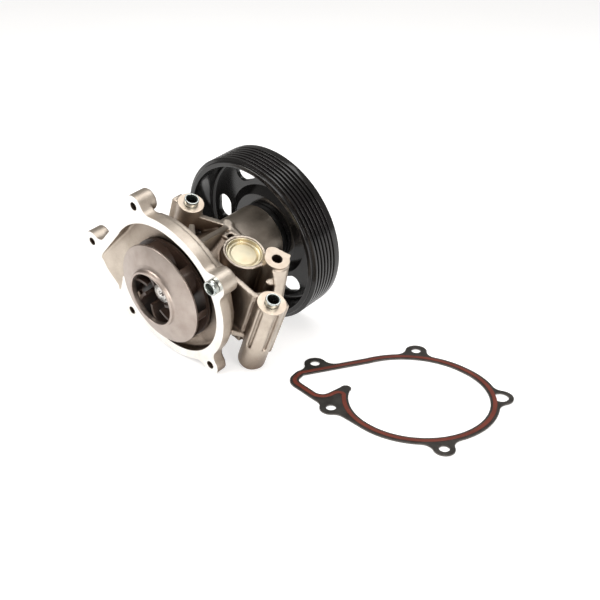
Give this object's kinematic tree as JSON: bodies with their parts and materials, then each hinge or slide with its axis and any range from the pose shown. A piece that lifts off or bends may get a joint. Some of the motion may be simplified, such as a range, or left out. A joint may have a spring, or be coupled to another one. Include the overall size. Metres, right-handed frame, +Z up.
{
  "type": "water pump",
  "caption": "Engine coolant pump with ribbed belt pulley, closed impeller, cast housing with accessory pads, and its loose gasket.",
  "frame": {"origin": "meeting point of the shaft axis and the mating face", "axes": "+Y along the shaft from the impeller to the pulley; +Z up as the pump lies on a bench, square to the shaft; +X completes the right-handed set"},
  "size_m": [0.3206, 0.1458, 0.1496],
  "materials": {
    "cast_aluminium": "as cast, machined on pads and mating face",
    "zinc_plug": "pale gold passivated pressing",
    "zinc_steel": "bright zinc plate",
    "bearing_steel": "ground",
    "cage_plastic": "natural polyamide",
    "seal_rubber": "matt black",
    "seal_brass": "pressed",
    "spring_steel": "stainless wire",
    "carbon": "lapped carbon graphite",
    "ceramic_face": "lapped alumina",
    "impeller_bronze": "dark brown moulded vanes",
    "impeller_shell": "satin grey-beige",
    "hub_steel": "phosphated",
    "black_coat": "gloss black e-coat",
    "gasket_sheet": "dark coated sheet steel",
    "silicone_bead": "red-brown silicone"
  },
  "bodies": {
    "housing": {"pump_housing": "cast_aluminium", "core_plug": "zinc_plug", "dowel_sleeves": "zinc_steel", "bearing_outer_race": "bearing_steel", "bearing_seal_front": "seal_rubber", "bearing_seal_rear": "seal_rubber", "seal_cup": "seal_brass", "seal_bellows": "seal_rubber", "seal_spring": "spring_steel"},
    "rotor": {"pump_shaft": "bearing_steel", "impeller_body": "impeller_bronze", "impeller_shroud": "impeller_shell", "impeller_insert": "bearing_steel", "ceramic_ring": "ceramic_face", "seat_boot": "seal_rubber", "drive_hub": "hub_steel", "pulley": "black_coat", "pulley_bolts": "zinc_steel"},
    "ball_set": {"bearing_balls": "bearing_steel", "ball_cage": "cage_plastic"},
    "roller_set": {"bearing_rollers": "bearing_steel", "roller_cage": "cage_plastic"},
    "seal_face": {"carbon_ring": "carbon"},
    "gasket": {"gasket_carrier": "gasket_sheet", "gasket_bead": "silicone_bead"}
  },
  "joints": [
    {"name": "rotor_spin", "type": "hinge", "parent": "housing", "child": "rotor", "pos_m": [0, 0, 0], "axis": [0, 1, 0], "continuous": true},
    {"name": "ball_set_spin", "type": "hinge", "parent": "housing", "child": "ball_set", "pos_m": [0, 0, 0], "axis": [0, 1, 0], "continuous": true},
    {"name": "roller_set_spin", "type": "hinge", "parent": "housing", "child": "roller_set", "pos_m": [0, 0, 0], "axis": [0, 1, 0], "continuous": true},
    {"name": "seal_face_float", "type": "slide", "parent": "housing", "child": "seal_face", "axis": [0, 1, 0], "range_m": [0, 0.0012], "stiffness_N_per_m": 400, "springref_m": -0.01, "deforming": ["seal_bellows", "seal_spring"]},
    {"name": "gasket_lift", "type": "slide", "parent": "housing", "child": "gasket", "axis": [0, 0.1426, 0.9898], "range_m": [0, 0.06]}
  ],
  "couplings": [
    {"joint": "ball_set_spin", "follows": "rotor_spin", "ratio": 0.3488},
    {"joint": "roller_set_spin", "follows": "rotor_spin", "ratio": 0.3682}
  ]
}
